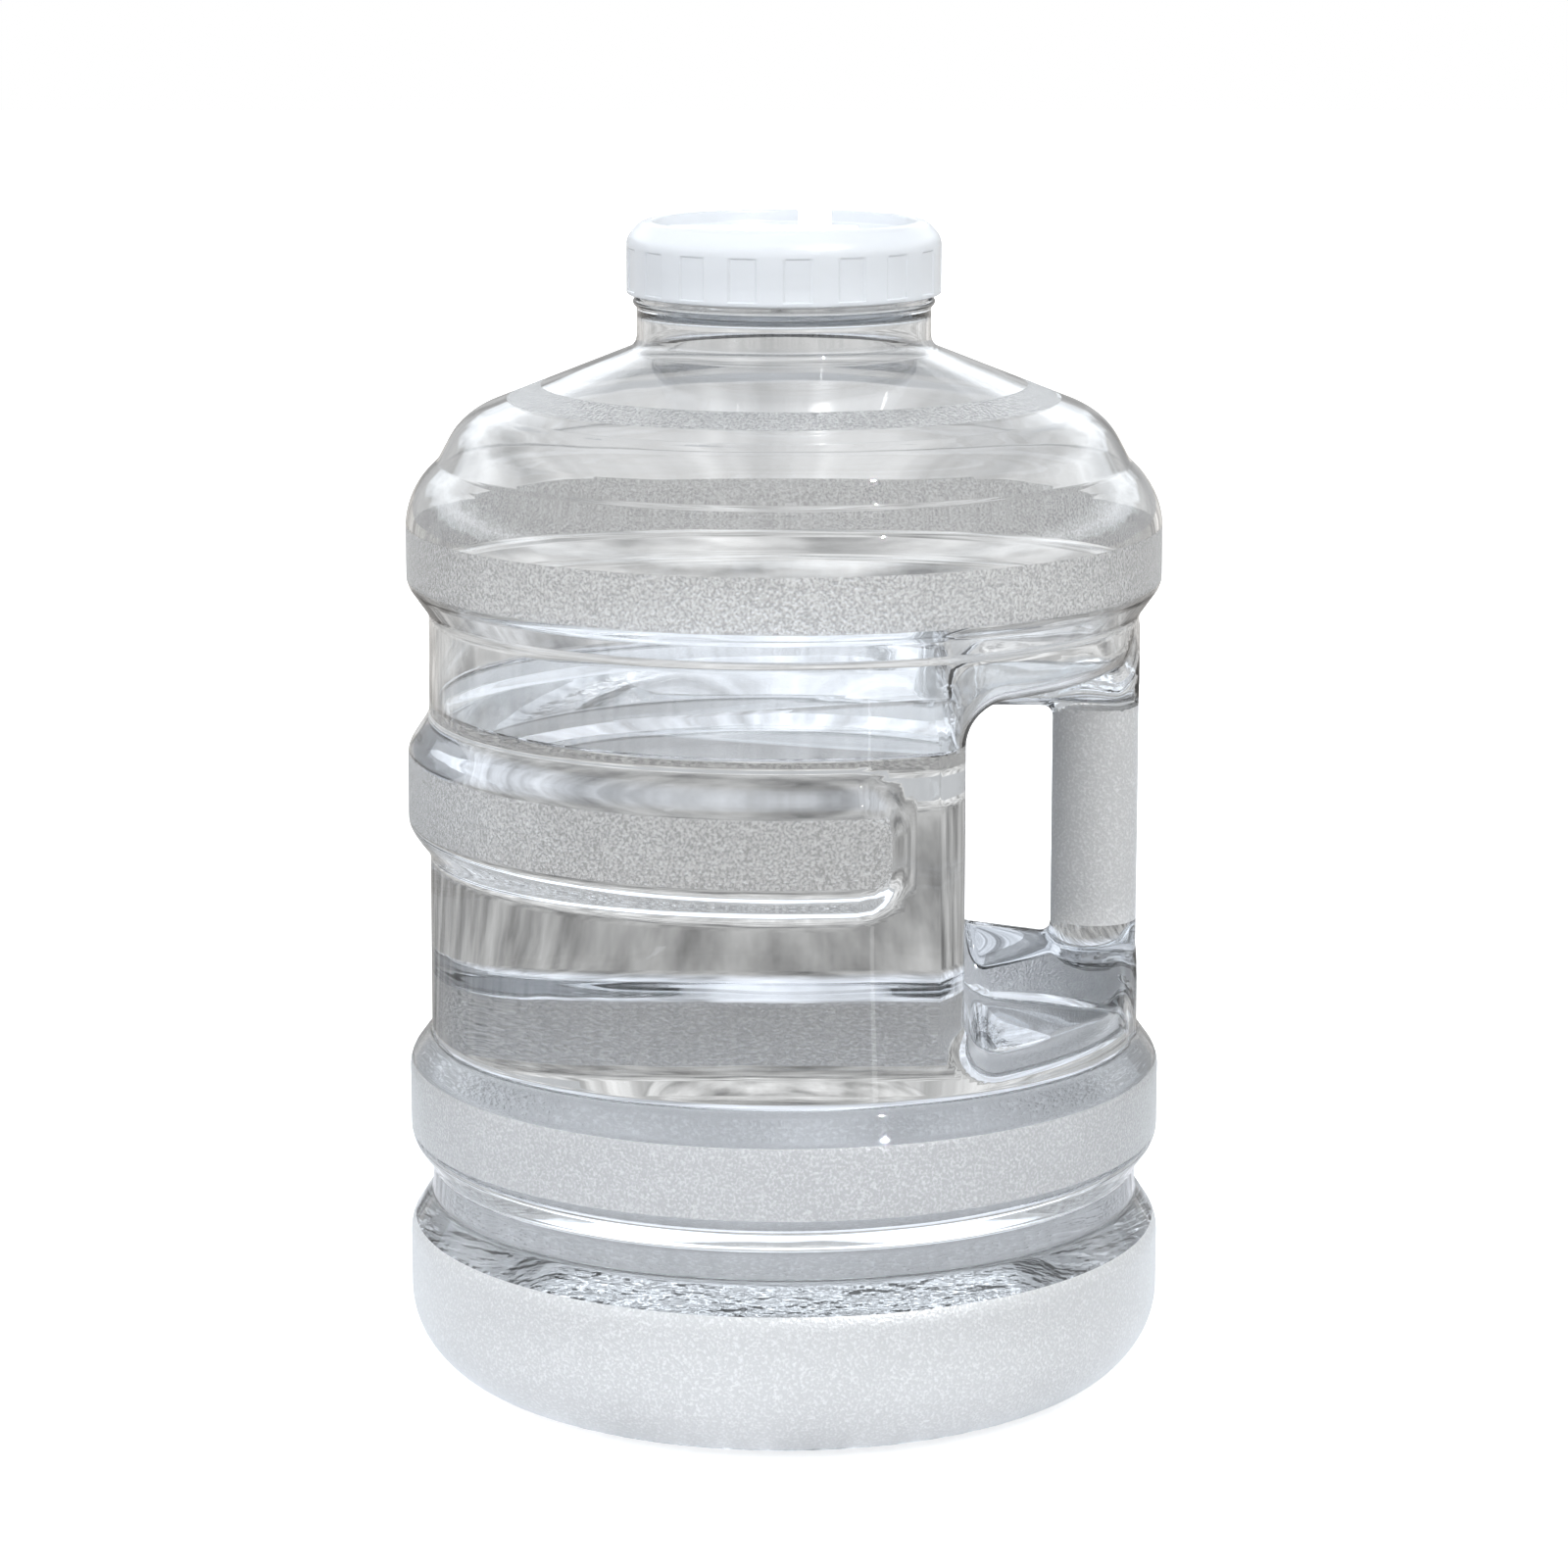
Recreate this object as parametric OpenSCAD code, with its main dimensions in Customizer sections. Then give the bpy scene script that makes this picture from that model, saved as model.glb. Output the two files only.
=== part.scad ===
// Clear water jug of about 7.5 litres with a moulded side grip and a screw cap
// Millimetres. +Z is up, the jug stands on z = 0, and its axis is the Z axis.
// The grip is on the +X side, in a recess that is open to the front and back.

/* [Body bands] */
// Outer radius of the base band
base_r = 105.7; // [104:0.1:108]
// Outer radius of the lower band
band_r = 105.2; // [104:0.1:108]
// Outer radius of the groove between the base band and the lower band
groove_r = 99.2; // [97:0.1:101]
// Outer radius of the waist
waist_r = 98.6; // [97:0.1:100]
// Outer radius of the raised middle rib
rib_r = 104.6; // [102:0.1:106]
// Outer radius of the shoulder band
shoulder_r = 104.3; // [103:0.1:106]
// Thickness of the blown wall
wall = 1.6; // [1.2:0.1:2.2]
// Radius of the rounded corner at the foot
foot_corner = 23; // [16:1:26]
// How far the middle of the base is pushed up
push_up = 6; // [3:1:9]

/* [Body heights] */
// Middle of the slope from the base band into the groove
base_top_z = 46; // [45:0.5:47]
// Middle of the slope from the groove out to the lower band
band_low_z = 63.4; // [62:0.2:65]
// Middle of the slope from the lower band in to the waist
band_high_z = 93; // [91:0.5:95]
// Middle of the slope under the middle rib
rib_low_z = 153; // [150:0.5:156]
// Middle of the slope above the middle rib
rib_high_z = 182; // [180:0.5:184]
// Middle of the slope under the shoulder band
shoulder_low_z = 219.4; // [217:0.2:221]
// Height of the crease between the shoulder band and the dome
crease_z = 256.6; // [255:0.2:258]
// Height of the corner between the cone and the neck
neck_base_z = 288; // [286:0.5:290]
// Angle from the grip to each end of the middle rib
rib_end_angle = 72; // [68:1:80]

/* [Grip and recess] */
// Distance from the axis to the flat wall of the recess
recess_x = 47.7; // [44:0.1:52]
// Lowest height of the recess
recess_floor_z = 107; // [104:0.5:110]
// Highest height of the recess
recess_top_z = 202; // [196:0.5:206]
// Corner radius of the recess
recess_corner = 11; // [8:1:14]
// Height of the ridge under the finger gap
gap_floor_z = 126.5; // [122:0.5:130]
// Height of the ridge above the finger gap
gap_top_z = 187.5; // [184:0.5:190]
// Distance from the middle plane to the foot of each ridge
ridge_half = 18; // [15:1:22]
// Radius of the hollow grip bar
bar_r = 12; // [10:0.5:14]

/* [Neck and thread] */
// Outer radius of the neck
neck_r = 40.4; // [39.8:0.1:40.6]
// Radius of the bore through the neck
mouth_r = 38.2; // [37:0.1:38.6]
// Height of the mouth's rim
mouth_z = 315.4; // [314.5:0.1:315.6]
// Rise of the thread in one turn
pitch = 4.5; // [4:0.5:5]
// Turns of thread on the neck
neck_turns = 1.75; // [1:0.25:2]

/* [Cap and stopper] */
// Outer radius of the cap over its grip ribs
cap_r = 43.1; // [43:0.1:44]
// Height of the cap's lower edge
cap_low_z = 302.2; // [302:0.1:303]
// Height of the cap's rim
cap_top_z = 322; // [321:0.1:323]
// Radius of the dished top of the cap
dish_r = 35; // [33:0.5:36]
// Number of sunk flats around the cap
flats = 18; // [12:1:24]
// Radius of the pour hole in the cap
pour_r = 7; // [5:0.5:8]
// Distance from the axis to the pour hole
pour_x = 8.4; // [6:0.1:12]
// Distance from the axis to the stopper's anchor
anchor_x = -28.5; // [-29.5:0.5:-26]
// Height of the pull knob above the stopper's strap
knob_h = 7.6; // [5:0.2:9]

/* [Hidden] */
$fn = 96;

arc_steps = 5;                  // straight pieces in each rounded corner of an outline
far = 130;                      // well outside the jug

bar_x = waist_r - bar_r + 0.2;  // the grip stands level with the waist
bar_bore_r = bar_r - wall;
rib_slope = 7.5;                // half heights of the slopes between the bands
band_slope = 4.2;

bead_low_z = 298.6;             // smooth bead just under the cap
bead_high_z = 301.4;
bead_r = neck_r + 1;
thread_root_r = neck_r - 0.5;
thread_depth = 1.2;
thread_base = 1.9;              // height of the thread's tooth at its root and at its crest
thread_crest = 0.9;
thread_steps = 36;              // steps in one turn
neck_thread_z = 304.6;

cap_bore_r = 41.5;
plate_low_z = 317;              // the cap's flat top plate
plate_high_z = 318.6;
cap_thread_turns = 1.25;
cap_thread_r = thread_root_r + thread_depth - 0.8;
flat_depth = 0.6;
flat_low_z = cap_low_z + 1.3;
flat_high_z = 315.2;

strap_low_z = plate_high_z + 0.2;
strap_t = 1.3;
strap_w = 11;
hinge_x = anchor_x + 5;
strap_end_x = pour_x + 12;
anchor_hole_r = 1.7;

// ---- outlines --------------------------------------------------------------

function unit(v) = v / norm(v);
function left_of(v) = [-v[1], v[0]];
function cross2(a, b) = a[0] * b[1] - a[1] * b[0];
function xy(c) = [c[0], c[1]];

// Rounds the corner at b between a and c with radius r, as a run of points
function rounded(a, b, c, r) =
    let (u = unit(a - b), v = unit(c - b), half = acos(u * v) / 2,
         centre = b + unit(u + v) * r / sin(half),
         first = b + u * r / tan(half) - centre,
         turn = sign(cross2(first, b + v * r / tan(half) - centre)) * (180 - 2 * half))
    [for (i = [0 : arc_steps]) let (t = turn * i / arc_steps)
        centre + [first[0] * cos(t) - first[1] * sin(t), first[0] * sin(t) + first[1] * cos(t)]];

// Corners are [x, y, corner radius]; the first and last stay sharp
function outline(cs) = [
    for (i = [0 : len(cs) - 1])
        if (i == 0 || i == len(cs) - 1 || cs[i][2] == 0) xy(cs[i])
        else each rounded(xy(cs[i - 1]), xy(cs[i]), xy(cs[i + 1]), cs[i][2])];

// Moves every corner of an open outline to its left by d, and keeps the arcs concentric
function inset(cs, d) = [
    for (i = [0 : len(cs) - 1])
        let (p = xy(cs[i]),
             before = i == 0 ? unit(xy(cs[1]) - p) : unit(p - xy(cs[i - 1])),
             after = i == len(cs) - 1 ? before : unit(xy(cs[i + 1]) - p),
             n1 = left_of(before), n2 = left_of(after),
             q = p + (n1 + n2) * d / (1 + n1 * n2))
        [q[0], q[1], cs[i][2] == 0 ? 0 : max(0.5, cs[i][2] - sign(cross2(before, after)) * d)]];

// Outer profile of the body from the middle of the base up to the neck
body_corners = [
    [0, push_up, 0],
    [52, push_up, 14],
    [64, 0, 5],
    [base_r, 0, foot_corner],
    [base_r, base_top_z - 5, 9],
    [groove_r, base_top_z + 5, 4],
    [groove_r, band_low_z - band_slope, 4],
    [band_r, band_low_z + band_slope, 8],
    [band_r, band_high_z - band_slope, 7],
    [waist_r + 0.4, band_high_z + band_slope, 6],
    [waist_r - 0.3, shoulder_low_z - band_slope, 3.5],
    [shoulder_r, shoulder_low_z + band_slope, 6],
    [shoulder_r, crease_z - 9, 22],
    [shoulder_r - 9, crease_z, 2],
    [shoulder_r - 15.4, crease_z + 12, 20],
    [neck_r, neck_base_z, 4],
    [neck_r, bead_low_z, 0]];

// Outer profile of the middle rib, from the waist out and back
rib_corners = [
    [waist_r - 6, rib_low_z - rib_slope, 0],
    [waist_r, rib_low_z - rib_slope, 5],
    [rib_r, rib_low_z + band_slope, 7],
    [rib_r, rib_high_z - band_slope, 6],
    [waist_r, rib_high_z + band_slope, 4],
    [waist_r - 6, rib_high_z + band_slope, 0]];

// ---- jug body --------------------------------------------------------------

// Solid inside the profile: the outer face at d = 0 and the inner face at d = wall
module belly(d) {
    rotate_extrude()
        polygon(concat(outline(inset(body_corners, d)), [[0, bead_low_z]]));
    rotate([0, 0, rib_end_angle + (d == 0 ? 0 : 1)])
        rotate_extrude(angle = 360 - 2 * rib_end_angle - (d == 0 ? 0 : 2))
            polygon(outline(inset(rib_corners, d)));
}

// Upright face of the recess seen from the front: the wall on the left, open on the right
module recess_face(low, high, grow, low_corner, high_corner) {
    polygon(outline([
        [far, low - grow, 0],
        [far, high + grow, 0],
        [recess_x - grow, high + grow, high_corner + grow],
        [recess_x - grow, low - grow, low_corner + grow],
        [far, low - grow, 0]]));
}

module upright(y, depth) {
    translate([0, y, 0]) rotate([90, 0, 0]) linear_extrude(depth) children();
}

// The recess is tall at the front and back, and a ridge above and below narrows
// it to the finger gap at the middle plane
module recess(grow) {
    lean = atan2(gap_floor_z - recess_floor_z, ridge_half);
    foot = ridge_half - grow * tan(lean / 2);
    for (side = [-1, 1]) {
        hull() {
            upright(0.01, 0.02)
                recess_face(gap_floor_z, gap_top_z, grow / cos(lean), 4, recess_corner);
            upright(side * foot + 0.01, 0.02)
                recess_face(recess_floor_z, recess_top_z, grow, recess_corner, recess_corner);
        }
        upright(side > 0 ? far : -foot, far - foot)
            recess_face(recess_floor_z, recess_top_z, grow, recess_corner, recess_corner);
    }
}

module grip(r, grow) {
    translate([bar_x, 0, recess_floor_z - 4 - grow])
        cylinder(r = r, h = recess_top_z - recess_floor_z + 8 + 2 * grow);
}

// One tooth swept round the Z axis; it leans out from root_r for depth > 0 and in for depth < 0
module helical_tooth(root_r, depth, turns, z0) {
    steps = round(turns * thread_steps);
    points = [for (i = [0 : steps])
        let (a = 360 * i / thread_steps, z = z0 + pitch * i / thread_steps,
             ramp = min(1, i / 4, (steps - i) / 4),
             crest = root_r + depth * (0.15 + 0.85 * ramp), root = root_r - sign(depth) * 0.3)
        for (p = [[root, -thread_base / 2], [crest, -thread_crest / 2],
                  [crest, thread_crest / 2], [root, thread_base / 2]])
            [p[0] * cos(a), p[0] * sin(a), z + p[1]]];
    sides = [for (i = [0 : steps - 1], k = [0 : 3])
        let (a = 4 * i + k, b = 4 * i + (k + 1) % 4) each [[a, b, a + 4], [b, b + 4, a + 4]]];
    ends = [[0, 3, 2], [0, 2, 1], [4 * steps, 4 * steps + 1, 4 * steps + 2],
            [4 * steps, 4 * steps + 2, 4 * steps + 3]];
    faces = concat(sides, ends);
    polyhedron(points, depth < 0 ? [for (f = faces) [f[2], f[1], f[0]]] : faces);
}

module jug_body() color("lightblue", 0.5) {
    difference() {
        union() {
            difference() {
                belly(0);
                recess(0);
            }
            grip(bar_r, 0);
        }
        difference() {
            belly(wall);
            recess(wall);
        }
        grip(bar_bore_r, wall);
        translate([0, 0, neck_base_z - 4]) cylinder(r = mouth_r, h = mouth_z);
    }
    // Neck above the profile: bead, then the plain wall that carries the thread
    rotate_extrude()
        polygon([[mouth_r, bead_low_z], [neck_r, bead_low_z], [bead_r, bead_low_z + 0.6],
                 [bead_r, bead_high_z - 0.6], [thread_root_r, bead_high_z],
                 [thread_root_r, mouth_z - 0.6], [thread_root_r - 0.6, mouth_z],
                 [mouth_r + 0.5, mouth_z], [mouth_r, mouth_z - 0.5]]);
    helical_tooth(thread_root_r, thread_depth, neck_turns, neck_thread_z);
}

// ---- cap -------------------------------------------------------------------

cap_corners = [
    [cap_bore_r, cap_low_z, 0],
    [cap_r - 0.4, cap_low_z, 0],
    [cap_r, cap_low_z + 0.6, 0],
    [cap_r, 316.4, 3],
    [38.6, cap_top_z, 2.6],
    [dish_r + 0.8, cap_top_z, 0.8],
    [dish_r, plate_high_z, 0.6],
    [0, plate_high_z, 0],
    [0, plate_low_z, 0],
    [cap_bore_r, plate_low_z, 0]];

module screw_cap() color("white", 0.8) {
    difference() {
        rotate_extrude() polygon(outline(cap_corners));
        for (i = [0 : flats - 1])
            rotate([0, 0, (i + 0.5) * 360 / flats])
                rotate_extrude(angle = 180 / flats)
                    polygon([[cap_r - flat_depth, flat_low_z], [cap_r + 1, flat_low_z],
                             [cap_r + 1, flat_high_z], [cap_r - flat_depth, flat_high_z - 0.6]]);
        translate([pour_x, 0, plate_low_z - 1]) cylinder(r = pour_r, h = 4);
        translate([anchor_x, 0, plate_low_z - 1]) cylinder(r = anchor_hole_r, h = 4);
    }
    helical_tooth(cap_bore_r, cap_thread_r - cap_bore_r, cap_thread_turns,
                  neck_thread_z + pitch / 2);
}

module cap_liner() color("whitesmoke") {
    rotate_extrude()
        polygon([[mouth_r - 1.4, mouth_z + 0.1], [cap_bore_r - 0.2, mouth_z + 0.1],
                 [cap_bore_r - 0.2, plate_low_z - 0.1], [mouth_r - 1.4, plate_low_z - 0.1]]);
}

// ---- stopper ---------------------------------------------------------------

module stopper_anchor() color("white") {
    translate([anchor_x, 0, 0]) rotate_extrude()
        polygon([[0, plate_low_z - 1.6], [1.2, plate_low_z - 1.6], [2.5, plate_low_z - 0.5],
                 [2.5, plate_low_z - 0.1], [anchor_hole_r - 0.1, plate_low_z - 0.1],
                 [anchor_hole_r - 0.1, plate_high_z + 0.1], [3.4, plate_high_z + 0.1],
                 [3.4, strap_low_z + strap_t - 0.4], [3, strap_low_z + strap_t],
                 [0, strap_low_z + strap_t]]);
}

module stopper() color("white") {
    // Strap with a square pull tab past the knob
    translate([hinge_x, -strap_w / 2, strap_low_z])
        cube([strap_end_x - hinge_x, strap_w, strap_t]);
    // Plug, strap flange and pull knob in one turned form
    translate([pour_x, 0, 0]) rotate_extrude()
        polygon([[0, plate_low_z - 3.4], [pour_r - 1.6, plate_low_z - 3.4],
                 [pour_r - 1, plate_low_z - 2.8], [pour_r - 0.15, plate_low_z],
                 [pour_r - 0.15, strap_low_z], [pour_r + 1.6, strap_low_z],
                 [pour_r + 1.6, strap_low_z + strap_t], [4.6, strap_low_z + strap_t + 0.4],
                 [4.6, strap_low_z + knob_h - 2], [5.3, strap_low_z + knob_h - 1.2],
                 [5.3, strap_low_z + knob_h + 0.4], [4.7, strap_low_z + knob_h + 1],
                 [0, strap_low_z + knob_h + 1]]);
}

jug_body();
screw_cap();
cap_liner();
stopper_anchor();
stopper();
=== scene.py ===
"""Looks of the clear water jug: blown shell, water, screw cap, seal, stopper and the stage."""

import math

import bmesh
import bpy
import numpy as np
from bpy.props import FloatProperty, FloatVectorProperty, IntProperty, PointerProperty
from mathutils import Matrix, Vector


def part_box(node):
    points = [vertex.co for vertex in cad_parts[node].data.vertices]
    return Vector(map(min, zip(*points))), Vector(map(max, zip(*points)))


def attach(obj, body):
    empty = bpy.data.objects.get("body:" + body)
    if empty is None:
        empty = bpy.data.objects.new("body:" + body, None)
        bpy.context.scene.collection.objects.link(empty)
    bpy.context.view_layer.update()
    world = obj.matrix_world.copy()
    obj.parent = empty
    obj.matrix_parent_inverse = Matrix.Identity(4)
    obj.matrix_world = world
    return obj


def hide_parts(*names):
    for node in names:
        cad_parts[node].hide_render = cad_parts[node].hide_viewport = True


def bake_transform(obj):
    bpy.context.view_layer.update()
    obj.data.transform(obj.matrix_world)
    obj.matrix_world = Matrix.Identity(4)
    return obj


bl_info = {
    "name": "Clear Water Jug",
    "version": (1, 0, 0),
    "blender": (4, 0, 0),
    "location": "View3D > Sidebar > Water Jug",
    "description": "Builds a blown clear jug with its water, screw cap and strap stopper",
    "category": "Add Mesh",
}

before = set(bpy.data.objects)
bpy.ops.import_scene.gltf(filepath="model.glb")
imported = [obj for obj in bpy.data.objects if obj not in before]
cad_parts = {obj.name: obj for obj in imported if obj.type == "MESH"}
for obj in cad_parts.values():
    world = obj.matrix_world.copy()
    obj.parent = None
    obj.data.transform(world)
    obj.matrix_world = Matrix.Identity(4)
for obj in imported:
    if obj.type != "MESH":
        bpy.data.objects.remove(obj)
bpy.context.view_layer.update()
_, BODY_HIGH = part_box("jug_body")
CAP_LOW, CAP_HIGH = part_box("screw_cap")
STOPPER_LOW, STOPPER_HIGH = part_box("stopper")
ANCHOR_LOW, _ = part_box("stopper_anchor")

MM = 0.001

# where the blown shell ends and the neck's bead begins
SHELL_TOP = 298.6 * MM
# the grip bar's cylinder ends inside the shell, 7.5 mm past the recess at each end
BAR_MIDDLE, BAR_HALF = 154.5 * MM, 55 * MM
# how far outside the bar a point of the skin still counts as the bar's
BAR_SKIN = 0.6 * MM
# the thread: its lowest middle line, half a tooth's width, the neck's tooth, and both lengths
THREAD_START, TOOTH_HALF, NECK_TOOTH = 304.6 * MM, 0.95 * MM, 1.2 * MM
NECK_TURNS, CAP_TURNS = 1.75, 1.25
# the cap's sunk flats lie between these heights
FLATS_LOW, FLATS_HIGH = 303.45 * MM, 314.9 * MM
# heights in millimetres between which each proud band was blasted in the mould
BLASTED_BANDS = ((224, 239.5), (157.4, 176), (68.7, 88.7))
# each blasting: material, share of clear plastic, roughness, darkest painted pebble shade, range of
# grains that runs from it to painted white glints
BLASTINGS = (
    ("lightly_blasted_polycarbonate", 0.78, 0.14, 0.50, (0.38, 0.64)),
    ("blasted_polycarbonate", 0.62, 0.24, 0.70, (0.45, 0.70)),
    ("heavily_blasted_polycarbonate", 0.40, 0.30, 0.75, (0.48, 0.70)),
)
# the shell's material slots, in order
CLEAR, WETTED, LIGHT, MEDIUM, HEAVY, WAVY = range(6)
POLYCARBONATE_IOR, WATER_IOR = 1.585, 1.333


def from_frame(name, description, metres):
    """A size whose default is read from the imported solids."""
    return FloatProperty(name=name, description=description, default=metres,
                         unit="LENGTH", subtype="DISTANCE", precision=5)


def length(name, description, millimetres):
    """A size in the panel: metres inside, shown in the scene's own unit."""
    return from_frame(name, description, millimetres * MM)


def angle(name, description, degrees):
    return FloatProperty(name=name, description=description, default=math.radians(degrees),
                         unit="ROTATION", subtype="ANGLE")


def linear(code):
    """A #rrggbb colour as the linear RGB that shaders and lights expect."""
    parts = [int(code[i:i + 2], 16) / 255 for i in (1, 3, 5)]
    return [p / 12.92 if p <= 0.04045 else ((p + 0.055) / 1.055) ** 2.4 for p in parts]


def colour(name, description, code):
    return FloatVectorProperty(name=name, description=description, subtype="COLOR",
                               default=linear(code), min=0, max=1)


# ---- sizes and colours -------------------------------------------------------------------------


class JugShellSizes(bpy.types.PropertyGroup):
    """The blown body with its bands, its recess and its hollow grip bar."""

    base_r: from_frame("Base radius", "Outer radius of the base band", BODY_HIGH.x)
    band_r: length("Lower band radius", "Outer radius of the lower band", 105.2)
    groove_r: length("Groove radius", "Radius in the groove above the base band", 99.2)
    waist_r: length("Waist radius", "Outer radius of the waist", 98.6)
    rib_r: length("Rib radius", "Outer radius of the raised middle rib", 104.6)
    shoulder_r: length("Shoulder radius", "Outer radius of the shoulder band", 104.3)
    neck_r: length("Neck radius", "Outer radius of the plain neck", 40.4)
    mouth_r: length("Mouth radius", "Radius of the bore through the neck", 38.2)
    mouth_z: from_frame("Mouth height", "Height of the mouth's rim", BODY_HIGH.z)
    wall: length("Wall", "Thickness of the blown wall", 1.6)
    push_up: length("Push-up", "How far the middle of the base is pushed up", 6)
    rib_low: length("Rib foot", "Middle of the slope under the rib", 152.2)
    rib_high: length("Rib top", "Middle of the slope above the rib", 182)
    rib_end: angle("Rib end", "Angle from the grip to each end of the rib", 73)
    recess_x: length("Recess wall", "Distance from the axis to the recess's flat wall", 47.7)
    recess_floor: length("Recess floor", "Lowest height of the recess", 107)
    recess_top: length("Recess top", "Highest height of the recess", 202)
    gap_floor: length("Finger gap floor", "Height of the ridge under the finger gap", 126.5)
    gap_top: length("Finger gap top", "Height of the ridge above the finger gap", 187.5)
    ridge_half: length("Ridge half width", "From the middle plane to a ridge's foot", 13)
    ridge_spread: length("Ridge spread", "How much wider each ridge is at the bar", 16)
    ridge_fall: angle("Ridge fall", "How the lower ridge falls towards the bar", 7.6)
    bar_x: length("Bar position", "Distance from the axis to the bar's own axis", 86.8)
    bar_r: length("Bar radius", "Radius of the hollow grip bar", 12)
    bar_flare: length("Bar flare", "Rounding where the bar meets the recess", 3)
    lip: length("Recess lip", "Rounding where the recess meets the bands", 7)
    thread_pitch: length("Thread pitch", "Rise of the neck thread in one turn", 4.5)
    row: length("Row height", "Height of one row of the shell's mesh", 1.15)
    grain: length("Pebble size", "Width of one pebble of the frosted bands", 1.1)
    wave: length("Wall ripple", "Width of the slow ripples that blowing leaves in the wall", 26)
    tint: colour("Plastic tint", "Colour that the clear plastic gives to light", "#FBFDFF")


class WaterSizes(bpy.types.PropertyGroup):
    """The water in the jug."""

    level: length("Water level", "Height of the still water", 190)
    gap: length("Water gap", "Gap that keeps the water's faces off the wall's", 0.08)
    meniscus: length("Meniscus", "Rise of the water at the wall", 1.3)
    tint: colour("Water tint", "Colour of the water's surface", "#FFFFFF")


class CapSizes(bpy.types.PropertyGroup):
    """The moulded screw cap and its foam seal."""

    outer_r: from_frame("Cap radius", "Outer radius over the grip ribs", CAP_HIGH.x)
    low: from_frame("Cap foot", "Height of the cap's lower edge", CAP_LOW.z)
    top: from_frame("Cap rim", "Height of the cap's rim", CAP_HIGH.z)
    bore_r: length("Cap bore", "Inner radius of the skirt", 41.5)
    dish_r: length("Dish radius", "Radius of the dished top", 35)
    plate_low: length("Plate underside", "Height of the plate's underside", 317)
    plate_high: length("Plate top", "Height of the plate's upper face", 318.6)
    flats: IntProperty(name="Flats", description="Number of sunk flats round the cap", default=18)
    flat_depth: length("Flat depth", "Depth of each sunk flat", 0.4)
    tooth: length("Thread tooth", "Height of the cap thread's tooth", 1.1)
    milk: colour("Cap colour", "Milky colour of the cap", "#F8FBFF")


class StopperSizes(bpy.types.PropertyGroup):
    """The soft stopper with its strap, pull knob and anchor."""

    pour_x: length("Pour hole position", "Distance from the axis to the pour hole", 8.4)
    pour_r: length("Pour hole radius", "Radius of the pour hole in the cap", 7)
    anchor_x: length("Anchor position", "Distance from the axis to the strap's anchor", -28.5)
    strap_t: length("Strap thickness", "Thickness of the strap", 1.3)
    strap_w: length("Strap width", "Width of the strap", 11)
    body: colour("Silicone colour", "Colour of the soft stopper", "#FAFBFC")


class StageSizes(bpy.types.PropertyGroup):
    """Floor, light and camera."""

    camera_away: length("Camera distance", "From the camera to its target", 1314)
    camera_rise: angle("Camera rise", "Height angle of the camera", 11.5)
    target_z: length("Target height", "Height that the camera looks at", 165)
    lens: FloatProperty(name="Lens", description="Focal length in millimetres", default=108)
    floor: colour("Floor colour", "Colour of the plain floor", "#FFFFFF")
    slab: colour("Slab colour", "Colour of the floor seen through the jug", "#F6F9FF")
    ground: colour("Ground colour", "Colour of the darker ground beyond the slab", "#FFFCF8")


# ---- small tools -------------------------------------------------------------------------------


def unit(v):
    return v / math.hypot(*v)


def smoothstep(t):
    t = np.clip(t, 0, 1)
    return t * t * (3 - 2 * t)


def round_max(a, b, radius):
    """The greater of two distances, with the corner between them rounded."""
    return (np.minimum(-radius, np.maximum(a, b))
            + np.hypot(np.maximum(a + radius, 0), np.maximum(b + radius, 0)))


def round_min(a, b, radius):
    return -round_max(-a, -b, radius)


def placed(name, data):
    """A new object with its data, linked to the scene."""
    made = bpy.data.objects.new(name, data)
    bpy.context.scene.collection.objects.link(made)
    return made


def piece(name, points, faces, materials=(), face_materials=None):
    """A smooth mesh object from points and faces, linked to the scene."""
    mesh = bpy.data.meshes.new(name)
    mesh.from_pydata(points, [], faces)
    for material in materials:
        mesh.materials.append(material)
    if face_materials is not None:
        mesh.polygons.foreach_set("material_index", np.asarray(face_materials, np.int32))
    mesh.polygons.foreach_set("use_smooth", np.ones(len(mesh.polygons), bool))
    mesh.update()
    return placed(name, mesh)


def applied(made, kind, **settings):
    """Runs one modifier on an object and keeps its result as the mesh."""
    modifier = made.modifiers.new(kind.title(), kind)
    for key, value in settings.items():
        setattr(modifier, key, value)
    seen = made.evaluated_get(bpy.context.evaluated_depsgraph_get())
    mesh = bpy.data.meshes.new_from_object(seen)
    made.modifiers.clear()
    made.data = mesh
    return made


def turned(profile, columns):
    """Points and faces of a closed profile of (radius, height) turned round the Z axis.

    A point on the axis becomes one point; columns holds the angles of the turn.
    """
    points, rings = [], []
    for radius, height in profile:
        start = len(points)
        if radius < 1e-9:
            points.append((0, 0, height))
            rings.append([start] * len(columns))
        else:
            points += [(radius * math.cos(a), radius * math.sin(a), height) for a in columns]
            rings.append(list(range(start, start + len(columns))))
    return points, ring_faces(rings)


def ring_faces(rings):
    """Faces between rings of points that follow each other."""
    faces = []
    for low, high in zip(rings, rings[1:]):
        for j in range(len(low)):
            k = (j + 1) % len(low)
            corners = [low[j], low[k], high[k], high[j]]
            corners = [c for i, c in enumerate(corners) if c != corners[i - 1]]
            if len(corners) > 2:
                faces.append(corners)
    return faces


def even_turn(count):
    return [2 * math.pi * i / count for i in range(count)]


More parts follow.
